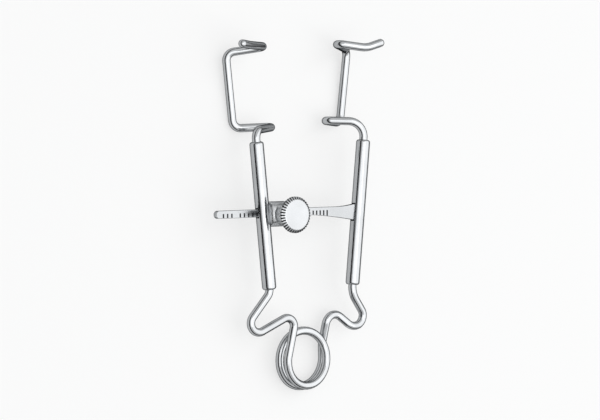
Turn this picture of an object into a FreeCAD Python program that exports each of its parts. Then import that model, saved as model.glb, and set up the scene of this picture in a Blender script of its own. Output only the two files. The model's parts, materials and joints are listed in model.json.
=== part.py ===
import FreeCAD, Part
import math
import os
from FreeCAD import Vector

# Eye speculum: two lid hooks of bent wire on solid rods, sprung apart by a coil and set by a
# clamped cross bar. Millimetres and degrees.
# It is drawn with the coil's axis along Z through X = Y = 0, the arms running up +Y, their middle
# plane at Z = 0 and the screw towards +Z. At the end it is laid down on a flat surface.

# Most that a bend turns within one face of the wire, and the rings that round off its end, in degrees
bend_step = 30.0
end_rings = (35.0, 65.0, 82.0)

# Spring: one coil of wire with a bent leg on each side
wire_diameter = 1.6
coil_radius = 5.35
coil_front_pitch = 3.4
coil_back_pitch = 1.3
coil_opening = 0.55
whole_turns = 1
coil_arcs = 10
coil_depth = 0.56
hump_radius = 1.8
front_entry = 10.0
valley_radius = 1.9
valley_height = 5.82
valley_depth = 0.7
far_hump_depth = 2.6
far_leg_kick = 2.2
kick_radius = 4.0

# Rods
rod_diameter = 2.75
rod_length = 28.7
rod_lean = 5.9
rod_foot_x = 10.31
rod_foot_y = 14.05
rod_edge = 0.45
socket_depth = 3.0

# Lid hooks, measured from the top of the rod
blade_wire_diameter = 1.6
hook_reach = 7.9
hook_depth = 3.85
hook_tip_radius = 1.0
run_depth = 7.0
run_height = 14.6
run_corner_radius = 1.7
top_rise = 1.2
top_depth = 2.55
stub_front = 0.87
stub_dip_place = 0.7
stub_dip_radius = 4.5

# The wires are bent by hand, so these differ between the left arm and the right one
left_neck_length = 0.7
left_neck_radius = 2.0
left_valley_reach = 4.0
left_hump_height = 8.3
left_hook_rise = 2.2
left_hook_bend = 1.8
left_tip_rise = 2.8
left_run_start = 2.5
left_run_in = -0.1
left_run_lean = 6.5
left_top_reach = 6.6
left_stub_length = 8.4
left_stub_rise = 0.5
left_stub_dip = 0.1
right_neck_length = 1.6
right_neck_radius = 4.0
right_valley_reach = 3.1
right_hump_height = 8.1
right_hook_rise = 3.6
right_hook_bend = 3.3
right_tip_rise = 3.9
right_run_start = 3.25
right_run_in = 0.65
right_run_lean = 7.4
right_top_reach = 6.8
right_stub_length = 8.95
right_stub_rise = 0.05
right_stub_dip = 0.95

# Cross bar
bar_height = 1.5
bar_thickness = 1.0
bar_y = 28.85
bar_tail = 11.4
root_flare_above = 4.2
root_flare_below = 10.0
root_above = 0.4
root_below = 1.25
tongue_radius = 0.8
root_room = 0.2
mark_spacing = 1.0
mark_width = 0.26
mark_depth = 0.12
mark_height = 0.9
mark_start = 1.65
mark_steps = (0, 1, 2, 4, 5, 6, 7, 8)
root_mark_count = 5
root_mark_start = 8.2
root_mark_spacing = 0.87

# Pivot pin of the bar
pin_diameter = 0.9

# Guide boss and threaded bush on the left rod
boss_diameter = 4.9
boss_start = 0.7
boss_length = 5.2
boss_shoulder = 0.65
boss_edge = 0.3
tilt_room = 7.9
screw_offset = 3.4
screw_drop = 0.25
bush_diameter = 4.1
bush_top = 3.6
bush_edge = 0.25

# Clamp screw
screw_diameter = 2.0
screw_edge = 0.25
head_diameter = 7.0
head_thickness = 1.05
head_bottom = 5.45
head_dome = 0.35
head_flat = 0.8
head_edge = 0.12
knurl_count = 38
knurl_depth = 0.22
spigot_diameter = 1.2
spigot_length = 0.8

# Clearances
running_clearance = 0.05
thread_clearance = 0.03
pin_clearance = 0.03
tip_gap = 0.04

# Places that several pieces share
coil_turns = whole_turns + 0.5 + front_entry / 360
wire_radius = wire_diameter / 2
blade_radius = blade_wire_diameter / 2
rod_radius = rod_diameter / 2
rod_top_x = rod_foot_x + rod_length * math.sin(math.radians(rod_lean))
rod_top_y = rod_foot_y + rod_length * math.cos(math.radians(rod_lean))
bar_x = rod_foot_x + (bar_y - rod_foot_y) * math.tan(math.radians(rod_lean))
screw_x = screw_offset - bar_x
screw_y = bar_y - screw_drop
bar_front = bar_thickness / 2
coil_end_radius = coil_radius + coil_opening
coil_end_z = -coil_depth - (coil_front_pitch + coil_back_pitch) / 2 * coil_turns
front_slope = coil_front_pitch / (2 * math.pi * coil_radius)
back_slope = coil_back_pitch / (2 * math.pi * coil_end_radius)


def along(start, end, length):
    """The point at a length from start towards end."""
    way = end - start
    return start + way * (length / way.Length)


def bend_path(points, radii):
    """Straight runs through the points, with a tangent arc of the given radius at each inner one."""
    edges = []
    last = points[0]
    for before, corner, after, radius in zip(points, points[1:], points[2:], radii):
        turn = (corner - before).getAngle(after - corner)
        reach = radius * math.tan(turn / 2)
        reach = min(reach, 0.49 * (corner - before).Length, 0.49 * (after - corner).Length)
        radius = reach / math.tan(turn / 2)
        start = along(corner, before, reach)
        end = along(corner, after, reach)
        inward = along(corner, (start + end) * 0.5, radius / math.cos(turn / 2) - radius)
        edges.append(Part.LineSegment(last, start).toShape())
        edges.append(Part.Arc(start, inward, end).toShape())
        last = end
    edges.append(Part.LineSegment(last, points[-1]).toShape())
    return Part.Wire(edges)


def bent_wire(path, diameter, round_end=False):
    """Round wire along a path, as rings carried along it and joined, with few faces in each bend."""
    first = path.OrderedEdges[0]
    place = first.valueAt(first.FirstParameter)
    heading = first.tangentAt(first.FirstParameter)
    rings = [Part.Wire([Part.Circle(place, heading, diameter / 2).toShape()])]

    def carry(next_place, next_heading):
        ring = rings[-1].copy()
        axis = heading.cross(next_heading)
        if axis.Length > 1e-9:
            ring.rotate(place, axis, math.degrees(heading.getAngle(next_heading)))
        ring.translate(next_place - place)
        rings.append(ring)

    for edge in path.OrderedEdges:
        start, end = edge.FirstParameter, edge.LastParameter
        turn = math.degrees(edge.tangentAt(start).getAngle(edge.tangentAt(end)))
        steps = max(1, math.ceil(turn / bend_step))
        for step in range(1, steps + 1):
            parameter = start + (end - start) * step / steps
            next_place = edge.valueAt(parameter)
            next_heading = edge.tangentAt(parameter)
            carry(next_place, next_heading)
            place, heading = next_place, next_heading
    if round_end:
        full = rings[-1]
        for angle in end_rings:
            ring = full.copy()
            ring.scale(math.cos(math.radians(angle)), place)
            ring.translate(heading * (diameter / 2 * math.sin(math.radians(angle))))
            rings.append(ring)
    return Part.makeLoft(rings, True, True)


def mirrored(shape):
    """The same shape on the other side of the instrument."""
    return shape.mirror(Vector(0, 0, 0), Vector(1, 0, 0))


def rod_point(distance):
    """A point on the right rod's centre line, at a distance up from its foot."""
    share = distance / rod_length
    across = rod_foot_x + (rod_top_x - rod_foot_x) * share
    up = rod_foot_y + (rod_top_y - rod_foot_y) * share
    return Vector(across, up, 0)


def bend_corners(centre, radius, heading_in, heading_out, depth):
    """Two corner points that make one bend of a radius round a centre, between two headings."""
    quarter = (heading_out - heading_in) / 4
    side = math.copysign(math.pi / 2, quarter)
    reach = radius / math.cos(quarter)
    corners = []
    for heading in (heading_in + quarter, heading_in + 3 * quarter):
        away = Vector(reach * math.cos(heading - side), reach * math.sin(heading - side), -depth)
        corners.append(centre + away)
    return corners


def leg_path(sizes, entry, meet, hump_depth, kick):
    """Right leg of the spring: rod socket, outward valley, hump and the run into the coil.

    sizes are the neck's length and bend radius, the valley's reach and the hump's height. entry is
    the angle round the coil, up from its widest point, at which the run meets it at the point meet.
    """
    neck_length, neck_radius, valley_reach, hump_height = sizes
    run = Vector(math.sin(entry), -math.cos(entry), 0)
    side = Vector(math.cos(entry), math.sin(entry), 0)
    climb = (hump_height - hump_radius - meet.y - hump_radius * side.y) / side.x
    hump = Vector(meet.x, meet.y, 0) + side * hump_radius - run * climb
    valley = Vector(rod_foot_x + valley_reach - valley_radius, valley_height + valley_radius, 0)
    bend = rod_point(-neck_length)
    way = valley - bend
    down = math.atan2(way.y, way.x) + math.asin(valley_radius / way.Length)
    back = valley - hump
    up = math.atan2(back.y, back.x) - math.asin((valley_radius + hump_radius) / back.Length) - math.pi
    points = [rod_point(socket_depth), bend]
    points += bend_corners(valley, valley_radius, down, up, valley_depth)
    points += bend_corners(hump, hump_radius, up, entry - math.pi / 2, hump_depth)
    radii = [neck_radius, valley_radius, valley_radius, hump_radius, hump_radius]
    if kick:
        points.append(meet - run * kick - Vector(0, 0, back_slope * kick))
        radii.append(kick_radius)
    return bend_path(points + [meet], radii)


def front_leg_path():
    """The left leg, drawn on the right, which runs straight into the coil's front turn."""
    entry = math.radians(front_entry)
    meet = Vector(coil_radius * math.cos(entry), coil_radius * math.sin(entry), -coil_depth)
    hump_depth = coil_depth - front_slope * (left_hump_height - hump_radius - meet.y)
    sizes = (left_neck_length, left_neck_radius, left_valley_reach, left_hump_height)
    return leg_path(sizes, entry, meet, hump_depth, 0)


def back_leg_path():
    """The right leg, which bends back to meet the coil's back turn."""
    sizes = (right_neck_length, right_neck_radius, right_valley_reach, right_hump_height)
    return leg_path(sizes, 0, Vector(coil_end_radius, 0, coil_end_z), far_hump_depth, far_leg_kick)


def lower_corners(hook_rise, tip_rise, run_start, run_in):
    """Corners of a right lid hook's lower part: rod socket, bend, lower tip and the foot of the run."""
    top = rod_point(rod_length)
    across = rod_point(rod_length + run_start)
    lower_tip = Vector(across.x - hook_reach, top.y + tip_rise, -hook_depth)
    run_foot = Vector(across.x - run_in, top.y + run_start, -run_depth)
    return [rod_point(rod_length - socket_depth), rod_point(rod_length + hook_rise), lower_tip, run_foot]


def upper_corners(run_foot, run_lean, top_reach, stub):
    """Corners of a right lid hook's upper part: top of the run, upper tip, the stub's dip and its end.

    stub is the length of the free end, how far it rises and how far its dip falls.
    """
    stub_length, stub_rise, stub_dip = stub
    run_top = run_foot + Vector(run_height * math.tan(math.radians(run_lean)), run_height, 0)
    upper_tip = Vector(run_top.x - top_reach, run_top.y + top_rise, -top_depth)
    stub_end = Vector(upper_tip.x + stub_length, upper_tip.y + stub_rise, stub_front)
    dip = upper_tip + (stub_end - upper_tip) * stub_dip_place - Vector(0, stub_dip, 0)
    return [run_top, upper_tip, dip, stub_end]


def blade_path(lower, upper, hook_bend):
    """Right lid hook: up from the rod, in to the lower tip, out, up the run and round the upper tip."""
    radii = [hook_bend, hook_tip_radius, run_corner_radius, run_corner_radius]
    return bend_path(lower + upper, radii + [hook_tip_radius, stub_dip_radius])


def left_blade_path():
    """The left lid hook, drawn on the right."""
    lower = lower_corners(left_hook_rise, left_tip_rise, left_run_start, left_run_in)
    stub = (left_stub_length, left_stub_rise, left_stub_dip)
    upper = upper_corners(lower[-1], left_run_lean, left_top_reach, stub)
    return blade_path(lower, upper, left_hook_bend)


def right_blade_path():
    """The right lid hook."""
    lower = lower_corners(right_hook_rise, right_tip_rise, right_run_start, right_run_in)
    stub = (right_stub_length, right_stub_rise, right_stub_dip)
    upper = upper_corners(lower[-1], right_run_lean, right_top_reach, stub)
    return blade_path(lower, upper, right_hook_bend)


def coil_point(share):
    """A point on the coil's centre line, at a share of its length from the left leg.

    The turns lie closer towards the back, where the last half turn opens out to the right leg.
    """
    turn = coil_turns * share
    angle = math.radians(180 - front_entry) + 2 * math.pi * turn
    easing = (coil_front_pitch - coil_back_pitch) / 2 * turn * share
    last = max(0, (turn - whole_turns) / (coil_turns - whole_turns))
    radius = coil_radius + coil_opening * last * last * (3 - 2 * last)
    fall = coil_front_pitch * turn - easing
    return Vector(radius * math.cos(angle), radius * math.sin(angle), -coil_depth - fall)


def coil_path():
    """The coil's centre line as a chain of arcs, from the left leg round to the right one."""
    edges = []
    for step in range(coil_arcs):
        shares = [(step + part) / coil_arcs for part in (0, 0.5, 1)]
        edges.append(Part.Arc(*[coil_point(share) for share in shares]).toShape())
    return Part.Wire(edges)


def rod_cylinder(radius, start, end):
    """Cylinder on the right rod's centre line between two distances from its foot."""
    foot = rod_point(start)
    return Part.makeCylinder(radius, end - start, foot, rod_point(end) - foot)


def plain_rod():
    """Right rod with rounded ends and a blind socket in each for the wire."""
    rod = rod_cylinder(rod_radius, 0, rod_length)
    rims = [edge for edge in rod.Edges if edge.Curve.TypeId == "Part::GeomCircle"]
    rod = rod.makeChamfer(rod_edge, rims)
    rod = rod.cut(rod_cylinder(wire_radius, 0, socket_depth))
    return rod.cut(rod_cylinder(blade_radius, rod_length - socket_depth, rod_length))


def pin_cylinder(diameter):
    """Cylinder across the right rod at the bar's pivot."""
    base = Vector(bar_x, bar_y, -rod_diameter)
    return Part.makeCylinder(diameter / 2, 2 * rod_diameter, base, Vector(0, 0, 1))


def right_rod():
    """Rod with the slot that takes the bar's tongue and the hole for its pin."""
    width = bar_thickness + 2 * running_clearance
    low = bar_height / 2 + root_below + root_room
    high = bar_height / 2 + root_above + root_room
    inboard = rod_diameter
    outboard = tongue_radius + root_room / 2
    corner = Vector(bar_x - inboard, bar_y - low, -width / 2)
    slot = Part.makeBox(inboard + outboard, low + high, width, corner)
    return plain_rod().cut(slot).cut(pin_cylinder(pin_diameter))


def bar_pivot_pin():
    """Pin with its ends dressed flush with the rod."""
    return pin_cylinder(pin_diameter).common(rod_cylinder(rod_radius, 0, rod_length))


def tilt_slot():
    """Passage for the bar through the left rod and boss, wider at its ends so that the bar can tilt."""
    half = bar_height / 2 + running_clearance
    spread = math.tan(math.radians(tilt_room))
    inner = boss_length + bar_thickness
    outer = rod_diameter
    width = bar_thickness + 2 * running_clearance
    outline = [
        (-outer, half + outer * spread),
        (0, half),
        (inner, half + inner * spread),
        (inner, -half - inner * spread),
        (0, -half),
        (-outer, -half - outer * spread),
    ]
    corners = [Vector(x - bar_x, y + bar_y, -width / 2) for x, y in outline]
    return Part.Face(Part.makePolygon(corners + corners[:1])).extrude(Vector(0, 0, width))


def left_rod():
    """Rod with the flared passage for the bar."""
    return mirrored(plain_rod()).cut(tilt_slot())


def boss_cylinder(start, end):
    """Cylinder of the guide boss along the bar, between two distances from the left rod's centre line."""
    place = Vector(start - bar_x, screw_y, 0)
    return Part.makeCylinder(boss_diameter / 2, end - start, place, Vector(1, 0, 0))


def screw_cylinder(diameter, start, end):
    """Cylinder on the clamp screw's axis between two heights."""
    return Part.makeCylinder(diameter / 2, end - start, Vector(screw_x, screw_y, start), Vector(0, 0, 1))


def guide_boss():
    """Boss that swells out of the rod's inner side, with the bar's passage and the screw's hole."""
    boss = boss_cylinder(boss_start, boss_length)
    boss = boss.makeChamfer(boss_edge, [max(boss.Edges, key=lambda edge: edge.CenterOfMass.x)])
    boss = boss.makeChamfer(boss_shoulder, [min(boss.Edges, key=lambda edge: edge.CenterOfMass.x)])
    boss = boss.cut(mirrored(rod_cylinder(rod_radius, 0, rod_length)))
    boss = boss.cut(tilt_slot())
    boss = boss.cut(screw_cylinder(screw_diameter + 2 * thread_clearance, 0, boss_diameter))
    return max(boss.Solids, key=lambda solid: solid.Volume)


def thread_bush():
    """Collar standing on the boss, which gives the screw the rest of its thread."""
    bush = screw_cylinder(bush_diameter, 0, bush_top)
    rim = max(bush.Edges, key=lambda edge: edge.CenterOfMass.z)
    bush = bush.makeChamfer(bush_edge, [rim])
    bush = bush.cut(boss_cylinder(0, screw_offset + bush_diameter))
    return bush.cut(screw_cylinder(screw_diameter + 2 * thread_clearance, 0, bush_top))


def clamp_screw_stem():
    """Screw from its tip just off the bar up to the spigot that carries the head."""
    tip = bar_front + tip_gap
    stem = screw_cylinder(screw_diameter, tip, head_bottom)
    rim = min(stem.Edges, key=lambda edge: edge.CenterOfMass.z)
    stem = stem.makeChamfer(screw_edge, [rim])
    spigot = screw_cylinder(spigot_diameter, head_bottom, head_bottom + spigot_length)
    return stem.fuse(spigot)


def clamp_screw_head():
    """Low crowned head with a band of straight knurling round it, bored for the spigot."""
    valley = head_diameter / 2 - knurl_depth
    core = valley - head_edge
    top = head_bottom + head_thickness
    floor = Vector(0, 0, head_bottom)
    low_rim = Vector(core, 0, head_bottom)
    high_rim = Vector(core, 0, top)
    bow = Vector((core + head_flat) / 2, 0, top + head_dome * 3 / 4)
    flat = Vector(head_flat, 0, top + head_dome)
    crown = Vector(0, 0, top + head_dome)
    edges = [
        Part.LineSegment(floor, low_rim),
        Part.LineSegment(low_rim, high_rim),
        Part.Arc(high_rim, bow, flat),
        Part.LineSegment(flat, crown),
        Part.LineSegment(crown, floor),
    ]
    outline = Part.Face(Part.Wire([edge.toShape() for edge in edges]))
    head = outline.revolve(Vector(0, 0, 0), Vector(0, 0, 1), 360)
    teeth = []
    for step in range(knurl_count):
        for share, reach in ((0, valley + knurl_depth), (0.5, valley)):
            angle = 2 * math.pi * (step + share) / knurl_count
            teeth.append(Vector(reach * math.cos(angle), reach * math.sin(angle), head_bottom + head_edge))
    band = Part.Face(Part.makePolygon(teeth + teeth[:1]))
    head = head.fuse(band.extrude(Vector(0, 0, head_thickness - 2 * head_edge)))
    head.translate(Vector(screw_x, screw_y, 0))
    bore = spigot_diameter + 2 * thread_clearance
    return head.cut(screw_cylinder(bore, head_bottom, head_bottom + spigot_length + thread_clearance))


def cross_bar():
    """Flat bar: rounded tail, plain run, root that widens into a pivoted tongue, and short cut marks."""
    half = bar_height / 2
    tail = -bar_x - bar_tail + half
    back = Vector(0, 0, -bar_front)
    above = half + root_above
    below = half + root_below
    shoulder = bar_x - rod_radius
    above_start = shoulder - root_flare_above
    below_start = shoulder - root_flare_below
    top_tail = Vector(tail, half, 0)
    low_tail = Vector(tail, -half, 0)
    end = Vector(tail - half, 0, 0)
    top_flare = Vector(above_start, half, 0)
    low_flare = Vector(below_start, -half, 0)
    top_root = Vector(shoulder, above, 0)
    low_root = Vector(shoulder, -below, 0)
    top_tongue = Vector(bar_x, tongue_radius, 0)
    low_tongue = Vector(bar_x, -tongue_radius, 0)
    top_bow = Vector((above_start + shoulder) / 2, half + root_above / 4, 0)
    low_bow = Vector((below_start + shoulder) / 2, -half - root_below * 0.4, 0)
    nose = Vector(bar_x + tongue_radius, 0, 0)
    edges = [
        Part.Arc(low_tail, end, top_tail),
        Part.LineSegment(top_tail, top_flare),
        Part.Arc(top_flare, top_bow, top_root),
        Part.LineSegment(top_root, top_tongue),
        Part.Arc(top_tongue, nose, low_tongue),
        Part.LineSegment(low_tongue, low_root),
        Part.Arc(low_root, low_bow, low_flare),
        Part.LineSegment(low_flare, low_tail),
    ]
    outline = Part.Wire([edge.toShape() for edge in edges])
    outline.translate(Vector(0, bar_y, 0) + back)
    bar = Part.Face(outline).extrude(Vector(0, 0, bar_thickness))
    bar = bar.cut(pin_cylinder(pin_diameter + 2 * pin_clearance))
    for x in mark_places():
        corner = Vector(x - mark_width / 2, bar_y - below, bar_front - mark_depth)
        bar = bar.cut(Part.makeBox(mark_width, below - half + mark_height, mark_depth, corner))
    return bar


def mark_places():
    """Where the bar's marks lie: along the tail, and a closer row before the root."""
    tail = [mark_start + mark_spacing * step - bar_x - bar_tail for step in mark_steps]
    root = [bar_x - root_mark_start - root_mark_spacing * step for step in range(root_mark_count)]
    return tail + root


def lying_angle():
    """Tilt at which the coil's back and both blade runs touch one flat surface."""
    coil_end = list(back_leg_path().discretize(200))
    blade = list(right_blade_path().discretize(400))
    low, high = 0.0, 12.0
    for _ in range(40):
        angle = (low + high) / 2
        tilt = FreeCAD.Rotation(Vector(1, 0, 0), angle)
        coil_low = min(tilt.multVec(point).z for point in coil_end) - wire_radius
        blade_low = min(tilt.multVec(point).z for point in blade) - blade_radius
        if blade_low < coil_low:
            low = angle
        else:
            high = angle
    return angle, coil_low


def placed(shape, placement):
    """A copy of the shape moved by a placement."""
    moved = shape.copy()
    moved.Placement = placement.multiply(shape.Placement)
    return moved


def main():
    os.makedirs("parts", exist_ok=True)
    shapes = {
        "arm_rod_right": right_rod(),
        "blade_wire_right": bent_wire(right_blade_path(), blade_wire_diameter, True),
        "spring_leg_right": bent_wire(back_leg_path(), wire_diameter),
        "spring_coil": bent_wire(coil_path(), wire_diameter),
        "bar_pivot_pin": bar_pivot_pin(),
        "arm_rod_left": left_rod(),
        "blade_wire_left": mirrored(bent_wire(left_blade_path(), blade_wire_diameter, True)),
        "spring_leg_left": mirrored(bent_wire(front_leg_path(), wire_diameter)),
        "guide_boss": guide_boss(),
        "thread_bush": thread_bush(),
        "clamp_screw_stem": clamp_screw_stem(),
        "clamp_screw_head": clamp_screw_head(),
        "cross_bar": cross_bar(),
    }
    angle, floor = lying_angle()
    tilt = FreeCAD.Placement(Vector(0, 0, 0), FreeCAD.Rotation(Vector(1, 0, 0), angle))
    tilted = Part.makeCompound([placed(shape, tilt) for shape in shapes.values()])
    box = tilted.optimalBoundingBox(False)
    origin = Vector(-(box.XMin + box.XMax) / 2, -(box.YMin + box.YMax) / 2, -floor)
    lay_down = FreeCAD.Placement(origin, tilt.Rotation)
    for name, shape in shapes.items():
        shape = placed(shape, lay_down)
        shape.exportStep(f"parts/{name}.step")
        print(name, round(shape.Volume, 3), shape.isValid(), len(shape.Solids))
    print("lying angle", round(angle, 4), "origin", [round(value, 4) for value in origin])


main()
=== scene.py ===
import json
import math
import bmesh
import bpy
from mathutils import Matrix, Vector


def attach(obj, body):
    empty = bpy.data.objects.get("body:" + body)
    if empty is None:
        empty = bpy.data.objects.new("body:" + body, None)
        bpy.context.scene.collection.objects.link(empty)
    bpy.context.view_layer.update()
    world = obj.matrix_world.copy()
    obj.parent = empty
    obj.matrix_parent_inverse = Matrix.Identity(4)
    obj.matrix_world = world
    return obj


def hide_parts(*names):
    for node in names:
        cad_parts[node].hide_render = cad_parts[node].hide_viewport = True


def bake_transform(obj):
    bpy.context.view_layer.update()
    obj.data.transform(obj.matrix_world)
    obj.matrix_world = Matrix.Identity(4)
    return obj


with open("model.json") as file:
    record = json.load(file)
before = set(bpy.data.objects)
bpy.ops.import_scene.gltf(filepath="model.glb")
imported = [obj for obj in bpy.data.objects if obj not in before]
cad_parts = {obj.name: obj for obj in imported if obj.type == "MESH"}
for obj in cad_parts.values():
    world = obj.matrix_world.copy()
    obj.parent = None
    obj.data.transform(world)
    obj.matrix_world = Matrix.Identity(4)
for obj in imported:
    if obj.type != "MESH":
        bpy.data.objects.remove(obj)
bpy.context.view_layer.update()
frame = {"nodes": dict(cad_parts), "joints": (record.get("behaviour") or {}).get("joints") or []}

# Eye speculum: two lid hooks of bent wire on solid rods, sprung apart by a coil and set by a clamped bar.
# Pieces are shaped upright, with the coil's axis on Z and the arms up +Y, and laid down at the end.
MM = 0.001

# Wire of the spring and the lid hooks, in millimetres and degrees
wire_diameter = 1.6
wire_sides = 32
bend_step = 7.0
bend_share = 0.49        # a bend takes at most this share of the run on each side of it
dome_angles = (15, 30, 45, 60, 73, 84)
coil_radius = 5.35
coil_front_pitch = 3.4
coil_back_pitch = 1.3
coil_opening = 0.55
coil_corners = 36
coil_depth = 0.56
hump_radius = 1.8
front_entry = 10.0
valley_radius = 1.9
valley_height = 5.82
valley_depth = 0.7
far_hump_depth = 2.6
far_leg_kick = 2.2
kick_radius = 4.0

# Rods
rod_diameter = 2.75
rod_length = 28.7
rod_lean = 5.9
rod_foot_x = 10.31
rod_foot_y = 14.05
rod_edge = 0.5
rod_sides = 64
socket_depth = 3.0
socket_bored = 1.5       # the socket is open this deep, and the wire goes on inside the rod
socket_room = 0.03
lip_width = 0.1
lip_depth = 0.15
lip_start = 0.03

# Lid hooks, measured from the top of the rod
hook_reach = 7.9
hook_depth = 3.85
hook_tip_radius = 1.0
run_depth = 7.0
run_height = 14.6
run_corner_radius = 1.7
top_rise = 1.2
top_depth = 2.55
stub_front = 0.87
stub_dip_place = 0.7
stub_dip_radius = 4.5

# The wires are bent by hand, so these differ between the left arm and the right one
left_neck_length = 0.7
left_neck_radius = 2.0
left_valley_reach = 4.0
left_hump_height = 8.3
left_hook_rise = 2.2
left_hook_bend = 1.8
left_tip_rise = 2.8
left_run_start = 2.5
left_run_in = -0.1
left_run_lean = 6.5
left_top_reach = 6.6
left_stub_length = 8.4
left_stub_rise = 0.5
left_stub_dip = 0.1
right_neck_length = 1.6
right_neck_radius = 4.0
right_valley_reach = 3.1
right_hump_height = 8.1
right_hook_rise = 3.6
right_hook_bend = 3.3
right_tip_rise = 3.9
right_run_start = 3.25
right_run_in = 0.65
right_run_lean = 7.4
right_top_reach = 6.8
right_stub_length = 8.95
right_stub_rise = 0.05
right_stub_dip = 0.95

# Cross bar and its pin
bar_height = 1.5
bar_thickness = 1.0
bar_y = 28.85
bar_tail = 11.4
bar_edge = 0.1
root_flare_above = 4.2
root_flare_below = 10.0
root_above = 0.4
root_below = 1.25
tongue_radius = 0.8
root_room = 0.2
tail_angles = (10, 25, 42, 60, 75, 90)
nose_angles = (70, 45, 20)
flare_steps = 10
flare_ease = 0.4
sharp_edge = 60.0        # edges of the strip that turn more than this are eased
mark_width = 0.34        # a little wider than the solid's 0.26, so that the marks show
mark_depth = 0.12
mark_height = 0.9
mark_start = 1.65
mark_spacing = 1.0
mark_steps = (0, 1, 2, 4, 5, 6, 7, 8)
root_mark_count = 5
root_mark_start = 8.2
root_mark_spacing = 0.87
pin_diameter = 0.9

# Clamp
boss_diameter = 4.9
boss_start = 0.7
boss_length = 5.2
boss_root = (0.6, 1.2)   # place along the boss and radius of its root, which is hidden in the rod
boss_root_edge = 0.8
boss_face_edge = 0.3
boss_face_ring = 1.4
tilt_room = 7.9
passage_beyond = 1.0
screw_offset = 3.4
screw_drop = 0.25
bush_diameter = 4.1
bush_foot = 1.4
bush_top = 3.6
bush_edge = 0.25
bush_mouth = 0.15
screw_diameter = 2.0
screw_pitch = 0.4
thread_depth = 0.14
thread_room = 0.03
thread_steps = 24
stem_sides = 40
stem_gap = 0.01
tip_chamfer = 0.2
tip_gap = 0.04
head_diameter = 7.0
head_thickness = 1.05
head_bottom = 5.45
head_hub = 0.9
head_dome = 0.35
head_bevel = 0.6
rim_foot_height = 0.12
rim_foot_inset = 0.15
rim_steps = ((0.4, 0.0), (0.19, 0.3), (0.0, head_bevel))       # drop below the top and inset from the rim
dome_shares = (0.93, 0.8, 0.6, 0.4, 0.2, 0.06)
knurl_count = 38
knurl_sides = 4
knurl_depth = 0.22
knurl_reach = 0.35
clearance = 0.05

# Shaping: steps of a round edge, sides of small round forms, and what counts as near, as facing the front,
# as one point and as a smooth edge
edge_steps = 6
hole_sides = 32
ridge_sides = 4
near = 0.01
facing = 0.99
merge_distance = 0.0001
smooth_angle = 35.0

# Places that several pieces share
upright = Vector((0, 0, 1))
wire_radius = wire_diameter / 2
rod_radius = rod_diameter / 2
slot_thickness = bar_thickness + 2 * clearance
rod_axis = Vector((math.sin(math.radians(rod_lean)), math.cos(math.radians(rod_lean)), 0))
bar_x = rod_foot_x + (bar_y - rod_foot_y) * math.tan(math.radians(rod_lean))
screw_x = screw_offset - bar_x
screw_y = bar_y - screw_drop
screw_place = Vector((screw_x, screw_y, 0))
coil_turns = 1.5 + front_entry / 360
coil_fall = (coil_front_pitch + coil_back_pitch) / 2 * coil_turns
coil_end_radius = coil_radius + coil_opening
coil_end_z = -coil_depth - coil_fall
front_slope = coil_front_pitch / (2 * math.pi * coil_radius)
back_slope = coil_back_pitch / (2 * math.pi * coil_end_radius)

# The laid-down frame: the joint of the two arms lies on the coil's axis, at its middle
arm_joint = next(joint for joint in frame["joints"] if joint["name"] == "arm_spread")
coil_axis = Vector(arm_joint["axis"])
lying = Matrix.Rotation(math.atan2(-coil_axis.y, coil_axis.z), 4, "X")
coil_middle = Matrix.Translation((0, 0, (coil_depth + coil_fall / 2) * MM))
laid = Matrix.Translation(arm_joint["pos_m"]) @ lying @ coil_middle


def linear(hex_colour):
    """A colour written as sRGB hex, as the linear values that a shader takes."""
    channels = [int(hex_colour[start:start + 2], 16) / 255 for start in (1, 3, 5)]
    steps = [c / 12.92 if c <= 0.04045 else ((c + 0.055) / 1.055) ** 2.4 for c in channels]
    return (*steps, 1.0)


def rod_point(distance):
    """A point on the right rod's centre line, at a distance up from its foot."""
    return Vector((rod_foot_x, rod_foot_y, 0)) + rod_axis * distance


def bend_corners(centre, radius, heading_in, heading_out, depth):
    """Two corner points that make one bend of a radius round a centre, between two headings."""
    quarter = (heading_out - heading_in) / 4
    side = math.copysign(math.pi / 2, quarter)
    reach = radius / math.cos(quarter)
    corners = []
    for heading in (heading_in + quarter, heading_in + 3 * quarter):
        out = heading - side
        corners.append(centre + Vector((reach * math.cos(out), reach * math.sin(out), -depth)))
    return corners


def leg_route(sizes, entry, meet, hump_depth, kick):
    """Corners and bend radii of a right leg: rod socket, outward valley, hump and the run into the coil."""
    neck_length, neck_radius, valley_reach, hump_height = sizes
    run = Vector((math.sin(entry), -math.cos(entry), 0))
    side = Vector((math.cos(entry), math.sin(entry), 0))
    climb = (hump_height - hump_radius - meet.y - hump_radius * side.y) / side.x
    hump = Vector((meet.x, meet.y, 0)) + side * hump_radius - run * climb
    valley = Vector((rod_foot_x + valley_reach - valley_radius, valley_height + valley_radius, 0))
    neck = rod_point(-neck_length)
    way = valley - neck
    down = math.atan2(way.y, way.x) + math.asin(valley_radius / way.length)
    back = valley - hump
    up = math.atan2(back.y, back.x) - math.asin((valley_radius + hump_radius) / back.length) - math.pi
    points = [rod_point(socket_depth), neck]
    points += bend_corners(valley, valley_radius, down, up, valley_depth)
    points += bend_corners(hump, hump_radius, up, entry - math.pi / 2, hump_depth)
    radii = [neck_radius, valley_radius, valley_radius, hump_radius, hump_radius]
    if kick:
        points.append(meet - run * kick - Vector((0, 0, back_slope * kick)))
        radii.append(kick_radius)
    return points + [meet], radii


def front_leg_route():
    """The left leg, as on the right side, which runs straight into the coil's front turn."""
    entry = math.radians(front_entry)
    meet = Vector((coil_radius * math.cos(entry), coil_radius * math.sin(entry), -coil_depth))
    hump_depth = coil_depth - front_slope * (left_hump_height - hump_radius - meet.y)
    sizes = (left_neck_length, left_neck_radius, left_valley_reach, left_hump_height)
    return leg_route(sizes, entry, meet, hump_depth, 0)


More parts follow.
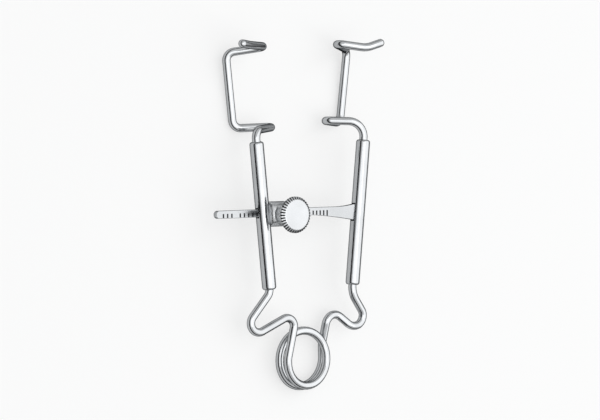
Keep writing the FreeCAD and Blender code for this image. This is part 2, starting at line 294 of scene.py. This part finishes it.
def back_leg_route():
    """The right leg, which bends back to meet the coil's back turn."""
    sizes = (right_neck_length, right_neck_radius, right_valley_reach, right_hump_height)
    return leg_route(sizes, 0, Vector((coil_end_radius, 0, coil_end_z)), far_hump_depth, far_leg_kick)


def coil_point(turn, beyond=1.0):
    """A point at a number of turns down the coil, as many times its radius out as beyond says."""
    angle = math.radians(180 - front_entry) + 2 * math.pi * turn
    last = max(0.0, (turn - 1) / (coil_turns - 1))
    radius = (coil_radius + coil_opening * last * last * (3 - 2 * last)) * beyond
    fall = coil_front_pitch * turn - (coil_front_pitch - coil_back_pitch) / 2 * turn * turn / coil_turns
    return Vector((radius * math.cos(angle), radius * math.sin(angle), -coil_depth - fall))


def coil_route():
    """The coil as many short bends, closer together and opening out towards the back."""
    step = coil_turns / coil_corners
    beyond = 1 / math.cos(math.pi * step)
    points = [coil_point(0)]
    points += [coil_point(step * (corner + 0.5), beyond) for corner in range(coil_corners)]
    return points + [coil_point(coil_turns)], [coil_radius] * coil_corners


def blade_route(hook, run, stub):
    """Corners and bend radii of a right lid hook, from the rod round both tips to the free end."""
    hook_rise, hook_bend, tip_rise = hook
    run_start, run_in, run_lean, top_reach = run
    stub_length, stub_rise, stub_dip = stub
    top = rod_point(rod_length)
    across = rod_point(rod_length + run_start)
    lower_tip = Vector((across.x - hook_reach, top.y + tip_rise, -hook_depth))
    run_foot = Vector((across.x - run_in, top.y + run_start, -run_depth))
    run_top = run_foot + Vector((run_height * math.tan(math.radians(run_lean)), run_height, 0))
    upper_tip = Vector((run_top.x - top_reach, run_top.y + top_rise, -top_depth))
    stub_end = Vector((upper_tip.x + stub_length, upper_tip.y + stub_rise, stub_front))
    dip = upper_tip + (stub_end - upper_tip) * stub_dip_place - Vector((0, stub_dip, 0))
    points = [rod_point(rod_length - socket_depth), rod_point(rod_length + hook_rise), lower_tip, run_foot]
    points += [run_top, upper_tip, dip, stub_end]
    radii = [hook_bend, hook_tip_radius, run_corner_radius]
    radii += [run_corner_radius, hook_tip_radius, stub_dip_radius]
    return points, radii


def start_editing(piece, mode="EDGE"):
    """Opens a piece in edit mode, with what is to be picked there."""
    bpy.context.view_layer.objects.active = piece
    bpy.ops.object.mode_set(mode="EDIT")
    bpy.ops.mesh.select_mode(type=mode)


def start_ring(name, place, heading, radius, sides):
    """A ring square to a heading, all of it picked in edit mode."""
    bpy.ops.object.select_all(action="DESELECT")
    turn = heading.to_track_quat("Z", "Y").to_euler()
    bpy.ops.mesh.primitive_circle_add(vertices=sides, radius=radius * MM, location=place * MM, rotation=turn)
    piece = bpy.context.object
    piece.name = name
    bpy.ops.object.transform_apply(location=True, rotation=True, scale=True)
    start_editing(piece)
    bpy.ops.mesh.select_all(action="SELECT")
    return piece


def push_ring(way):
    """Extrudes what is picked along a straight run, given in millimetres."""
    bpy.ops.mesh.extrude_region_move(TRANSFORM_OT_translate={"value": way * MM})


def turned(name, place, heading, profile, sides=rod_sides, hollow=False):
    """A round piece drawn along its axis through steps of distance and radius. A hollow one ends where it
    began."""
    distance, radius = profile[0]
    piece = start_ring(name, place + heading * distance, heading, radius, sides)
    if not hollow:
        bpy.ops.mesh.edge_face_add()
    for next_distance, next_radius in profile[1:]:
        push_ring(heading * (next_distance - distance))
        share = next_radius / radius
        bpy.ops.transform.resize(value=(share, share, share))
        distance, radius = next_distance, next_radius
    bpy.ops.object.mode_set(mode="OBJECT")
    return piece


def rounded(distance, radius, edge, start, stop):
    """Profile steps round a quarter circle whose middle lies inside the corner, between two angles."""
    steps = []
    for step in range(edge_steps + 1):
        angle = math.radians(start + (stop - start) * step / edge_steps)
        steps.append((distance + edge * math.sin(angle), radius + edge * math.cos(angle)))
    return steps


def close_end(heading):
    """Draws the free end of a wire out to a dome."""
    before = 0.0
    size = 1.0
    for angle in dome_angles:
        out = wire_radius * math.sin(math.radians(angle))
        push_ring(heading * (out - before))
        narrow = math.cos(math.radians(angle)) / size
        bpy.ops.transform.resize(value=(narrow, narrow, narrow))
        before = out
        size *= narrow


def bent_wire(name, route, round_end=False, mirrored=False):
    """Wire bent by hand: its section is pushed along each straight run and spun round each bend."""
    points, radii = route
    heading = (points[1] - points[0]).normalized()
    piece = start_ring(name, points[0], heading, wire_radius, wire_sides)
    bpy.ops.mesh.edge_face_add()
    last = points[0]
    for before, corner, after, radius in zip(points, points[1:], points[2:], radii):
        turn = (corner - before).angle(after - corner)
        room = bend_share * min((corner - before).length, (after - corner).length)
        reach = min(radius * math.tan(turn / 2), room)
        radius = reach / math.tan(turn / 2)
        heading = (corner - before).normalized()
        next_heading = (after - corner).normalized()
        start = corner - heading * reach
        axis = heading.cross(next_heading).normalized()
        push_ring(start - last)
        centre = start + axis.cross(heading) * radius
        steps = max(1, round(math.degrees(turn) / bend_step))
        bpy.ops.mesh.spin(steps=steps, angle=-turn, center=centre * MM, axis=axis)
        last = corner + next_heading * reach
        heading = next_heading
    push_ring(points[-1] - last)
    if round_end:
        close_end(heading)
    return finished(piece, mirrored)


def cut(piece, cutter):
    """Takes a cutter's shape out of a piece."""
    taken = piece.modifiers.new("cut", "BOOLEAN")
    taken.operation = "DIFFERENCE"
    taken.solver = "EXACT"
    taken.object = cutter
    bpy.context.view_layer.objects.active = piece
    bpy.ops.object.modifier_apply(modifier=taken.name)
    bpy.data.objects.remove(cutter)


def finished(piece, mirrored=False):
    """Turns the faces outwards, lays the piece down in the frame and shades it smooth."""
    if bpy.context.mode != "OBJECT":
        bpy.ops.object.mode_set(mode="OBJECT")
    if mirrored:
        piece.data.transform(Matrix.Scale(-1, 4, (1, 0, 0)))
    piece.data.transform(laid)
    bpy.ops.object.select_all(action="DESELECT")
    piece.select_set(True)
    start_editing(piece)
    bpy.ops.mesh.select_all(action="SELECT")
    bpy.ops.mesh.remove_doubles(threshold=merge_distance * MM)
    bpy.ops.mesh.normals_make_consistent(inside=False)
    bpy.ops.object.mode_set(mode="OBJECT")
    bpy.ops.object.shade_smooth_by_angle(angle=math.radians(smooth_angle))
    return piece


def plain_rod(name, sign):
    """A rod with rounded ends and a socket in each for the wire; sign is -1 on the left."""
    place = rod_point(0)
    place.x *= sign
    heading = Vector((rod_axis.x * sign, rod_axis.y, 0))
    hole = wire_radius + socket_room
    inner = rod_radius - rod_edge
    socket = [(socket_bored, hole), (lip_depth, hole), (lip_start, hole + lip_width)]
    profile = socket + rounded(rod_edge, inner, rod_edge, -90, 0)
    profile += rounded(rod_length - rod_edge, inner, rod_edge, 0, 90)
    profile += [(rod_length - distance, radius) for distance, radius in reversed(socket)]
    return turned(name, place, heading, profile)


def block(name, place, sizes):
    """A block, used as a cutter, given by its middle and its sizes."""
    bpy.ops.object.select_all(action="DESELECT")
    bpy.ops.mesh.primitive_cube_add(size=1, location=place * MM)
    piece = bpy.context.object
    piece.name = name
    piece.scale = sizes * MM
    bpy.ops.object.transform_apply(location=True, rotation=True, scale=True)
    return piece


def bar_passage():
    """Cutter for the bar's way through the left rod and the boss, flared so that the bar can tilt."""
    inner = boss_length + passage_beyond
    outer = rod_diameter
    half = bar_height / 2 + clearance
    spread = math.tan(math.radians(tilt_room))
    place = Vector((-bar_x + (inner - outer) / 2, bar_y, 0))
    piece = block("bar_passage", place, Vector((inner + outer, 2 * half, slot_thickness)))
    start_editing(piece, "VERT")
    bpy.ops.mesh.select_all(action="SELECT")
    bpy.ops.mesh.bisect(plane_co=Vector((-bar_x, bar_y, 0)) * MM, plane_no=(1, 0, 0))
    for reach in (-outer, inner):
        shape = bmesh.from_edit_mesh(piece.data)
        for vertex in shape.verts:
            vertex.select_set(abs(vertex.co.x / MM + bar_x - reach) < near)
        shape.select_flush(True)
        bmesh.update_edit_mesh(piece.data)
        widen = (half + abs(reach) * spread) / half
        bpy.ops.transform.resize(value=(1, widen, 1))
    bpy.ops.object.mode_set(mode="OBJECT")
    return piece


def right_rod():
    """The right rod, with the slot for the bar's tongue and the pin's hole."""
    rod = plain_rod("rod_right", 1)
    low = bar_height / 2 + root_below + root_room
    high = bar_height / 2 + root_above + root_room
    outboard = tongue_radius + root_room / 2
    middle = Vector((bar_x + (outboard - rod_diameter) / 2, bar_y + (high - low) / 2, 0))
    cut(rod, block("tongue_slot", middle, Vector((rod_diameter + outboard, low + high, slot_thickness))))
    hole = [(-rod_diameter, pin_diameter / 2), (rod_diameter, pin_diameter / 2)]
    cut(rod, turned("pin_hole", Vector((bar_x, bar_y, 0)), upright, hole, hole_sides))
    return finished(rod)


def left_rod():
    """The left rod, with the passage for the bar."""
    rod = plain_rod("rod_left", -1)
    cut(rod, bar_passage())
    return finished(rod)


def guide_boss():
    """Boss that swells out of the left rod's inner side, with the bar's passage."""
    radius = boss_diameter / 2
    profile = [boss_root]
    profile += rounded(boss_start + boss_root_edge, radius - boss_root_edge, boss_root_edge, -90, 0)
    profile += rounded(boss_length - boss_face_edge, radius - boss_face_edge, boss_face_edge, 0, 90)
    profile += [(boss_length, boss_face_ring)]
    boss = turned("boss_turned", Vector((-bar_x, screw_y, 0)), Vector((1, 0, 0)), profile)
    cut(boss, bar_passage())
    return finished(boss)


def thread_bush():
    """Collar on the boss, open through the middle for the screw."""
    hole = screw_diameter / 2 + thread_room
    outer = bush_diameter / 2
    profile = [(bush_foot, hole), (bush_foot, outer)]
    profile += rounded(bush_top - bush_edge, outer - bush_edge, bush_edge, 0, 90)
    profile += [(bush_top, hole + bush_mouth), (bush_top - bush_mouth, hole), (bush_foot, hole)]
    return finished(turned("bush_turned", screw_place, upright, profile, hollow=True))


def screw_stem():
    """The screw's stem: a core with the thread's ridge wound round it."""
    core = screw_diameter / 2 - thread_depth
    tip = bar_thickness / 2 + tip_gap
    profile = [(tip, core - tip_chamfer), (tip + tip_chamfer, core), (head_bottom - stem_gap, core)]
    stem = turned("screw_stem", screw_place, upright, profile, stem_sides)
    length = head_bottom - tip - 2 * screw_pitch
    foot = Vector((screw_x, screw_y, tip + screw_pitch))
    ridge = start_ring("thread_ridge", Vector((core, 0, 0)), Vector((0, 1, 0)), thread_depth, ridge_sides)
    bpy.ops.object.mode_set(mode="OBJECT")
    winding = ridge.modifiers.new("winding", "SCREW")
    winding.angle = 2 * math.pi * length / screw_pitch
    winding.screw_offset = length * MM
    winding.steps = round(thread_steps * length / screw_pitch)
    winding.render_steps = winding.steps
    bpy.ops.object.modifier_apply(modifier=winding.name)
    ridge.data.transform(Matrix.Translation(foot * MM))
    start_editing(ridge)
    bpy.ops.mesh.select_all(action="DESELECT")
    bpy.ops.mesh.select_non_manifold()
    bpy.ops.mesh.edge_face_add()
    bpy.ops.object.mode_set(mode="OBJECT")
    bpy.ops.object.select_all(action="DESELECT")
    ridge.select_set(True)
    stem.select_set(True)
    bpy.context.view_layer.objects.active = stem
    bpy.ops.object.join()
    return finished(stem)


def knurled_head():
    """The screw's head: a low crown over a rim whose straight grooves run out over its bevel."""
    radius = head_diameter / 2
    flank = radius - head_bevel
    top = head_thickness
    profile = [(0, head_hub), (0, radius - rim_foot_inset), (rim_foot_height, radius)]
    profile += [(top - drop, radius - inset) for drop, inset in rim_steps]
    profile += [(top + head_dome * (1 - (share * share)), flank * share) for share in dome_shares]
    sides = knurl_sides * knurl_count
    head = turned("knurled_head", Vector((screw_x, screw_y, head_bottom)), upright, profile, sides)
    start_editing(head, "VERT")
    shape = bmesh.from_edit_mesh(head.data)
    for vertex in shape.verts:
        x, y = vertex.co.x / MM - screw_x, vertex.co.y / MM - screw_y
        number = round(math.atan2(y, x) / (2 * math.pi) * sides)
        vertex.select_set(math.hypot(x, y) > radius - knurl_reach and number % knurl_sides == 0)
    shape.select_flush(True)
    bmesh.update_edit_mesh(head.data)
    share = (radius - knurl_depth) / radius
    bpy.ops.transform.resize(value=(share, share, 1), center_override=(screw_x * MM, screw_y * MM, 0))
    bpy.ops.object.mode_set(mode="OBJECT")
    return head


def bar_stations():
    """Stations along the bar from its round tail to its nose: place, upper edge and lower edge."""
    half = bar_height / 2
    tail = -bar_x - bar_tail + half
    shoulder = bar_x - rod_radius
    stations = []
    for angle in tail_angles:
        height = half * math.sin(math.radians(angle))
        stations.append((tail - half * math.cos(math.radians(angle)), height, -height))
    for step in range(flare_steps + 1):
        below = step / flare_steps
        x = shoulder - root_flare_below * (1 - below)
        above = max(0, 1 - (shoulder - x) / root_flare_above)
        low = half + root_below * below * (1 - flare_ease + flare_ease * below)
        stations.append((x, half + root_above * above * above, -low))
    stations.append((bar_x, tongue_radius, -tongue_radius))
    for angle in nose_angles:
        height = tongue_radius * math.sin(math.radians(angle))
        stations.append((bar_x + tongue_radius * math.cos(math.radians(angle)), height, -height))
    return stations


def mark_places():
    """Where the bar's marks lie: along the tail, and a closer row before the root."""
    tail = [mark_start + mark_spacing * step - bar_x - bar_tail for step in mark_steps]
    return tail + [bar_x - root_mark_start - root_mark_spacing * step for step in range(root_mark_count)]


def pick(piece, wanted, kind="faces"):
    """Picks the faces or edges of a piece in edit mode that a test wants."""
    shape = bmesh.from_edit_mesh(piece.data)
    for face in shape.faces:
        face.select_set(False)
    for edge in shape.edges:
        edge.select_set(False)
    for item in getattr(shape, kind):
        if wanted(item):
            item.select_set(True)
    bmesh.update_edit_mesh(piece.data)


def cross_bar():
    """The flat bar: a strip drawn out station by station, thickened, eased and cut with marks."""
    stations = bar_stations()
    x0, top0 = stations[0][:2]
    x1, top1, low1 = stations[1]
    front = bar_thickness / 2
    bpy.ops.object.select_all(action="DESELECT")
    bpy.ops.mesh.primitive_plane_add(size=1, location=Vector(((x0 + x1) / 2, bar_y, front)) * MM)
    bar = bpy.context.object
    bar.name = "marked_bar"
    bar.scale = Vector((x1 - x0, top1 - low1, 1)) * MM
    bpy.ops.object.transform_apply(location=True, rotation=True, scale=True)
    start_editing(bar)
    middle = (x0 + x1) / 2 * MM
    pick(bar, lambda edge: all(vertex.co.x < middle for vertex in edge.verts), "edges")
    bpy.ops.transform.resize(value=(1, top0 / top1, 1))
    pick(bar, lambda edge: all(vertex.co.x > middle for vertex in edge.verts), "edges")
    for (x, top, low), (next_x, next_top, next_low) in zip(stations[1:], stations[2:]):
        push_ring(Vector((next_x - x, (next_top + next_low - top - low) / 2, 0)))
        bpy.ops.transform.resize(value=(1, (next_top - next_low) / (top - low), 1))
    bpy.ops.mesh.select_mode(type="FACE")
    bpy.ops.mesh.select_all(action="SELECT")
    push_ring(Vector((0, 0, -bar_thickness)))
    bpy.ops.mesh.select_all(action="SELECT")
    bpy.ops.mesh.normals_make_consistent(inside=False)
    bpy.ops.mesh.select_mode(type="EDGE")

    def rim(edge):
        level = edge.verts[0].co.z == edge.verts[1].co.z
        return level and edge.calc_face_angle(0) > math.radians(sharp_edge)

    pick(bar, rim, "edges")
    bpy.ops.mesh.bevel(offset=bar_edge * MM, segments=3, profile=0.5, affect="EDGES")
    bpy.ops.mesh.select_mode(type="FACE")
    places = mark_places()
    mark_top = bar_y - bar_height / 2 + mark_height
    cuts = [((0, mark_top * MM, 0), (0, 1, 0))]
    for x in places:
        cuts += [(((x + side * mark_width / 2) * MM, 0, 0), (1, 0, 0)) for side in (-1, 1)]
    for place, normal in cuts:
        pick(bar, lambda face: face.normal.z > facing)
        bpy.ops.mesh.bisect(plane_co=place, plane_no=normal)

    def marked(face):
        centre = face.calc_center_median() / MM
        inside = any(abs(centre.x - x) < mark_width / 2 for x in places)
        return face.normal.z > facing and centre.y < mark_top and inside

    pick(bar, marked)
    push_ring(Vector((0, 0, -mark_depth)))
    bpy.ops.object.mode_set(mode="OBJECT")
    return bar


def add_node(tree, kind, settings=(), links=()):
    """Adds a node to a tree, sets its sockets and options, and links its inputs."""
    node = tree.nodes.new(kind)
    for name, value in dict(settings).items():
        if name in node.inputs:
            node.inputs[name].default_value = value
        else:
            setattr(node, name, value)
    for name, output in dict(links).items():
        tree.links.new(output, node.inputs[name])
    return node


def combined(tree, operation, first, second):
    """What a maths node makes of an output and another output or a number."""
    node = add_node(tree, "ShaderNodeMath", {"operation": operation})
    tree.links.new(first, node.inputs[0])
    if isinstance(second, float):
        node.inputs[1].default_value = second
    else:
        tree.links.new(second, node.inputs[1])
    return node.outputs[0]


def mixed(tree, share, first, second):
    """Two shaders mixed, with a share of the second one."""
    mix = add_node(tree, "ShaderNodeMixShader", {}, {"Fac": share})
    tree.links.new(first, mix.inputs[1])
    tree.links.new(second, mix.inputs[2])
    return mix.outputs["Shader"]


# How the steels vary: pattern sizes in millimetres, and shares of a steel's own tone and roughness.
# The turned rings are drawn several times as coarse as real ones, so that they can show.
noise_low = 0.3
noise_high = 0.7
cloud_mm = 6.0
cloud_dark = 0.88
gloss_low = 0.8
gloss_high = 1.25
grain_strength = 0.35
turning_mm = 0.24
turning_strength = 0.3
turning_wobble = 0.4
mottle_mm = 0.3
mottle_dark = 0.6


def steel(name, hex_colour, roughness, grain_mm, grain_stretch, bump_mm, hub=None):
    """Stainless steel: its tone and gloss vary a little, over fine lines left by how it was finished. A hub
    is the centre of a turned face, which has rings cut by the tool."""
    material = bpy.data.materials.new(name)
    material.use_nodes = True
    tree = material.node_tree
    tree.nodes.clear()
    place = add_node(tree, "ShaderNodeTexCoord").outputs["Object"]
    grain_place = add_node(tree, "ShaderNodeMapping", {"Scale": grain_stretch}, {"Vector": place})
    grain = add_node(tree, "ShaderNodeTexNoise", {"Scale": 1 / (grain_mm * MM), "Detail": 3.0},
                     {"Vector": grain_place.outputs["Vector"]})
    cloud = add_node(tree, "ShaderNodeTexNoise", {"Scale": 1 / (cloud_mm * MM), "Detail": 2.0},
                     {"Vector": place})
    tone = add_node(tree, "ShaderNodeValToRGB", {}, {"Fac": cloud.outputs["Fac"]})
    tone.color_ramp.elements[0].position = noise_low
    tone.color_ramp.elements[1].position = noise_high
    tone.color_ramp.elements[0].color = [channel * cloud_dark for channel in linear(hex_colour)[:3]] + [1.0]
    tone.color_ramp.elements[1].color = linear(hex_colour)
    gloss = add_node(tree, "ShaderNodeMapRange",
                     {"From Min": noise_low, "From Max": noise_high,
                      "To Min": roughness * gloss_low, "To Max": roughness * gloss_high},
                     {"Value": grain.outputs["Fac"]})
    relief = add_node(tree, "ShaderNodeBump", {"Strength": grain_strength, "Distance": bump_mm * MM},
                      {"Height": grain.outputs["Fac"]})
    if hub:
        centred = add_node(tree, "ShaderNodeMapping", {"Location": [-part for part in hub]},
                           {"Vector": place})
        rings = add_node(tree, "ShaderNodeTexWave",
                         {"wave_type": "RINGS", "rings_direction": "Z",
                          "Scale": math.pi / (10 * turning_mm * MM), "Distortion": turning_wobble},
                         {"Vector": centred.outputs["Vector"]})
        relief = add_node(tree, "ShaderNodeBump", {"Strength": turning_strength, "Distance": bump_mm * MM},
                          {"Height": rings.outputs["Fac"], "Normal": relief.outputs["Normal"]})
    # The near-black Specular Tint is painted shade, a dark line round each outline of the steel
    shader = add_node(tree, "ShaderNodeBsdfPrincipled",
                      {"Metallic": 1.0, "Specular Tint": linear(painted_rim_shade_tint)},
                      {"Base Color": tone.outputs["Color"], "Roughness": gloss.outputs["Result"],
                       "Normal": relief.outputs["Normal"]})
    add_node(tree, "ShaderNodeOutputMaterial", {}, {"Surface": shader.outputs["BSDF"]})
    return material


def dark_cut_colour(name, hex_colour):
    """Dark matt colour for a cut in the steel, mottled a little darker and lighter. It darkens the bar's
    marks, and in the knurling's grooves it is painted shade.
    """
    material = bpy.data.materials.new(name)
    material.use_nodes = True
    tree = material.node_tree
    tree.nodes.clear()
    place = add_node(tree, "ShaderNodeTexCoord").outputs["Object"]
    mottle = add_node(tree, "ShaderNodeTexNoise", {"Scale": 1 / (mottle_mm * MM), "Detail": 3.0},
                      {"Vector": place})
    tone = add_node(tree, "ShaderNodeValToRGB", {}, {"Fac": mottle.outputs["Fac"]})
    tone.color_ramp.elements[0].color = [channel * mottle_dark for channel in linear(hex_colour)[:3]] + [1.0]
    tone.color_ramp.elements[1].color = linear(hex_colour)
    shader = add_node(tree, "ShaderNodeBsdfPrincipled", {"Metallic": 0.4, "Roughness": 0.6},
                      {"Base Color": tone.outputs["Color"]})
    add_node(tree, "ShaderNodeOutputMaterial", {}, {"Surface": shader.outputs["BSDF"]})
    return material


def dress(piece, *materials):
    """Gives a piece its materials."""
    piece.data.materials.clear()
    for material in materials:
        piece.data.materials.append(material)


def dark_cut_faces(piece, wanted):
    """Gives a piece's second material to the faces that a test wants, before it is laid down."""
    for face in piece.data.polygons:
        if wanted(face.center / MM):
            face.material_index = 1


def in_mark(centre):
    """Whether a place on the bar lies in one of its marks."""
    deep = bar_thickness / 2 - mark_depth - near < centre.z < bar_thickness / 2 - near / 2
    low = centre.y < bar_y - bar_height / 2 + mark_height + near
    return deep and low and min(abs(centre.x - x) for x in mark_places()) < mark_width / 2 + near


def in_groove(centre):
    """Whether a place on the head lies in a groove of its knurling, above the rim's eased foot, where shade
    is painted.
    """
    x, y = centre.x - screw_x, centre.y - screw_y
    high = rim_foot_height < centre.z - head_bottom < head_thickness
    outer = math.hypot(x, y) > head_diameter / 2 - head_bevel
    return high and outer and math.cos(knurl_count * math.atan2(y, x)) > 0


# Materials, each named for the steel and its finish. Their values are colour, roughness, size of the grain
# in mm, its scale along x, y and z, where a small one draws it out into lines, and the height of its relief
# in mm. Real lines are a few hundredths of a millimetre wide. These are coarser, so that they can show.
# The edge tint is painted shade: a near-black tint that darkens the steel where it is seen along its
# surface, which draws a thin dark line round each wire.
painted_rim_shade_tint = "#1c1d1f"

# The wire is the glossiest, with a faint unevenness that keeps its long reflections from looking ruled. The
# rods are polished lengthwise, the bar is a little greyer with lines along it, and the head has rings from
# the lathe on its crown. Boss and bush are paler and satin, so that their round forms stay soft. A matt dark
# colour darkens the bar's marks and is painted shade in the knurling's grooves, so that both read as lines.
drawn_wire = steel("drawn_stainless_wire", "#b6b8ba", 0.12, 0.25, (1, 1, 1), 0.004)
polished_rod = steel("polished_stainless_rod", "#b6b8ba", 0.14, 0.12, (1, 0.06, 1), 0.004)
milled_bar = steel("milled_stainless_bar", "#abadaf", 0.22, 0.1, (0.05, 1, 1), 0.006)
turned_head = steel("turned_stainless_head", "#b6b8ba", 0.16, 0.1, (1, 1, 0.2), 0.003,
                    laid @ (Vector((screw_x, screw_y, head_bottom)) * MM))
satin_boss = steel("satin_stainless_boss", "#cfd1d3", 0.3, 0.08, (1, 1, 0.15), 0.005)
# Dark matt colour for the bar's marks, and painted shade in the knurling's grooves
dark_marks_and_groove_shade = dark_cut_colour("dark_oxide_in_grooves", "#26272a")

# Pieces, each of which replaces the plainer solid of its node
hooks = {
    "right": blade_route((right_hook_rise, right_hook_bend, right_tip_rise),
                         (right_run_start, right_run_in, right_run_lean, right_top_reach),
                         (right_stub_length, right_stub_rise, right_stub_dip)),
    "left": blade_route((left_hook_rise, left_hook_bend, left_tip_rise),
                        (left_run_start, left_run_in, left_run_lean, left_top_reach),
                        (left_stub_length, left_stub_rise, left_stub_dip)),
}
bar = cross_bar()
dress(bar, milled_bar, dark_marks_and_groove_shade)
dark_cut_faces(bar, in_mark)
finished(bar)
head = knurled_head()
dress(head, turned_head, dark_marks_and_groove_shade)
# The knurling's grooves get painted shade
dark_cut_faces(head, in_groove)
finished(head)
pieces = [
    (bent_wire("lid_hook_wire_right", hooks["right"], round_end=True),
     drawn_wire, "blade_wire_right", "right_arm", "spring_wire"),
    (bent_wire("lid_hook_wire_left", hooks["left"], round_end=True, mirrored=True),
     drawn_wire, "blade_wire_left", "left_arm", "spring_wire"),
    (bent_wire("leg_wire_right", back_leg_route()),
     drawn_wire, "spring_leg_right", "right_arm", "spring_wire"),
    (bent_wire("leg_wire_left", front_leg_route(), mirrored=True),
     drawn_wire, "spring_leg_left", "left_arm", "spring_wire"),
    (bent_wire("wound_coil", coil_route()), drawn_wire, "spring_coil", None, "spring_wire"),
    (right_rod(), polished_rod, "arm_rod_right", "right_arm", "rod_steel"),
    (left_rod(), polished_rod, "arm_rod_left", "left_arm", "rod_steel"),
    (guide_boss(), satin_boss, "guide_boss", "left_arm", "clamp_steel"),
    (thread_bush(), satin_boss, "thread_bush", "left_arm", "clamp_steel"),
    (screw_stem(), turned_head, "clamp_screw_stem", "clamp_stem", "clamp_steel"),
    (head, None, "clamp_screw_head", "clamp_head", "clamp_steel"),
    (bar, None, "cross_bar", "cross_bar", "bar_steel"),
]
for piece, material, node, body, slot in pieces:
    if material:
        dress(piece, material)
    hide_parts(node)
    if body:
        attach(piece, body)
    else:
        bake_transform(piece)
dress(frame["nodes"]["bar_pivot_pin"], polished_rod)

# Floor, white to the eye and in the steel's reflections, which keeps a soft shadow
floor_size = 3.0
floor_glow = 0.6         # share of the floor's white that is its own light; the rest takes the shadow
bpy.ops.object.select_all(action="DESELECT")
bpy.ops.mesh.primitive_plane_add(size=floor_size, location=(0, 0, 0))
floor = bpy.context.object
floor.name = "studio_floor"
paper = bpy.data.materials.new("matt_white_card")
paper.use_nodes = True
sheet = paper.node_tree
sheet.nodes.clear()
rays = add_node(sheet, "ShaderNodeLightPath").outputs
seen = combined(sheet, "MAXIMUM", rays["Is Camera Ray"], rays["Is Glossy Ray"])
seen = combined(sheet, "MAXIMUM", seen, rays["Is Transmission Ray"])
card = add_node(sheet, "ShaderNodeBsdfDiffuse", {"Color": linear("#f4f4f3")})
glow = add_node(sheet, "ShaderNodeEmission", {"Color": linear("#ffffff"), "Strength": 1.0})
glow_share = combined(sheet, "MULTIPLY", seen, floor_glow)
surface = mixed(sheet, glow_share, card.outputs["BSDF"], glow.outputs["Emission"])
add_node(sheet, "ShaderNodeOutputMaterial", {}, {"Surface": surface})
dress(floor, paper)

# World: white background, plain soft light, and for the steel to mirror a dark band low round the room,
# which stands highest at the lower left
band_lean = (0.15, 0.1, 1.0)
band_dark = linear("#1e1f21")
band_dark_top = 0.2
band_white_start = 0.45
fill_strength = 0.5
world = bpy.data.worlds.new("studio_room")
bpy.context.scene.world = world
world.use_nodes = True
sky = world.node_tree
sky.nodes.clear()
sky_rays = add_node(sky, "ShaderNodeLightPath").outputs
toward = add_node(sky, "ShaderNodeTexCoord").outputs["Generated"]
height = add_node(sky, "ShaderNodeVectorMath", {"operation": "DOT_PRODUCT"})
sky.links.new(toward, height.inputs[0])
height.inputs[1].default_value = band_lean
band = add_node(sky, "ShaderNodeValToRGB", {}, {"Fac": height.outputs["Value"]})
stops = band.color_ramp.elements
stops[0].position = 0.0
stops[0].color = band_dark
stops[1].position = band_white_start
stops[1].color = linear("#ffffff")
stops.new(band_dark_top).color = band_dark
room = add_node(sky, "ShaderNodeBackground", {"Strength": 1.0}, {"Color": band.outputs["Color"]})
fill = add_node(sky, "ShaderNodeBackground", {"Color": linear("#f2f4f6"), "Strength": fill_strength})
white = add_node(sky, "ShaderNodeBackground", {"Color": linear("#ffffff"), "Strength": 1.0})
mirrored_room = mixed(sky, sky_rays["Is Glossy Ray"], fill.outputs["Background"], room.outputs["Background"])
whole_room = mixed(sky, sky_rays["Is Camera Ray"], mirrored_room, white.outputs["Background"])
add_node(sky, "ShaderNodeOutputWorld", {}, {"Surface": whole_room})


def lamp(name, direction, distance, size, power):
    """Square soft lamp that looks at the middle of the instrument from a direction in the laid frame."""
    data = bpy.data.lights.new(name, "AREA")
    data.shape = "SQUARE"
    data.size = size
    data.energy = power
    softbox = bpy.data.objects.new(name, data)
    bpy.context.scene.collection.objects.link(softbox)
    way = Vector(direction).normalized()
    softbox.location = way * distance
    softbox.rotation_euler = way.to_track_quat("Z", "Y").to_euler()


# Each lamp's direction, its distance and side in metres, and its power in watts. They are large for the
# size of the instrument, so that the steel mirrors them as wide soft areas.
lamp("key_softbox", (0.55, 0.02, 0.9), 0.6, 0.9, 2.6)
lamp("front_softbox", (-0.35, -0.1, 0.93), 0.7, 0.6, 1.3)

# Camera: the drawing's view, from the front and well round to the left. Angles are in degrees and lengths
# in millimetres, and the shifts bring the instrument to its place in the picture.
sensor_width = 36.0
lens_length = 174.5
nearest_seen = 0.01      # metres
view_turn = -38.0
view_rise = 2.4
view_roll = -0.3
view_distance = 567.0
view_target = Vector((0, 30, 0))
view_shift_left = 2.13
view_shift_down = 0.9
back = Vector((math.sin(math.radians(view_turn)) * math.cos(math.radians(view_rise)),
               math.sin(math.radians(view_rise)),
               math.cos(math.radians(view_turn)) * math.cos(math.radians(view_rise))))
right = Vector((0, 1, 0)).cross(back).normalized()
right.rotate(Matrix.Rotation(math.radians(view_roll), 3, back))
image_up = back.cross(right)
eye = view_target + back * view_distance - right * view_shift_left - image_up * view_shift_down
camera_data = bpy.data.cameras.new("view_camera")
camera_data.sensor_width = sensor_width
camera_data.lens = lens_length
camera_data.clip_start = nearest_seen
camera = bpy.data.objects.new("view_camera", camera_data)
bpy.context.scene.collection.objects.link(camera)
pose = Matrix((right, image_up, back)).transposed().to_4x4()
camera.matrix_world = laid @ Matrix.Translation(eye * MM) @ pose
bpy.context.scene.camera = camera

bpy.context.scene.view_settings.view_transform = "Standard"
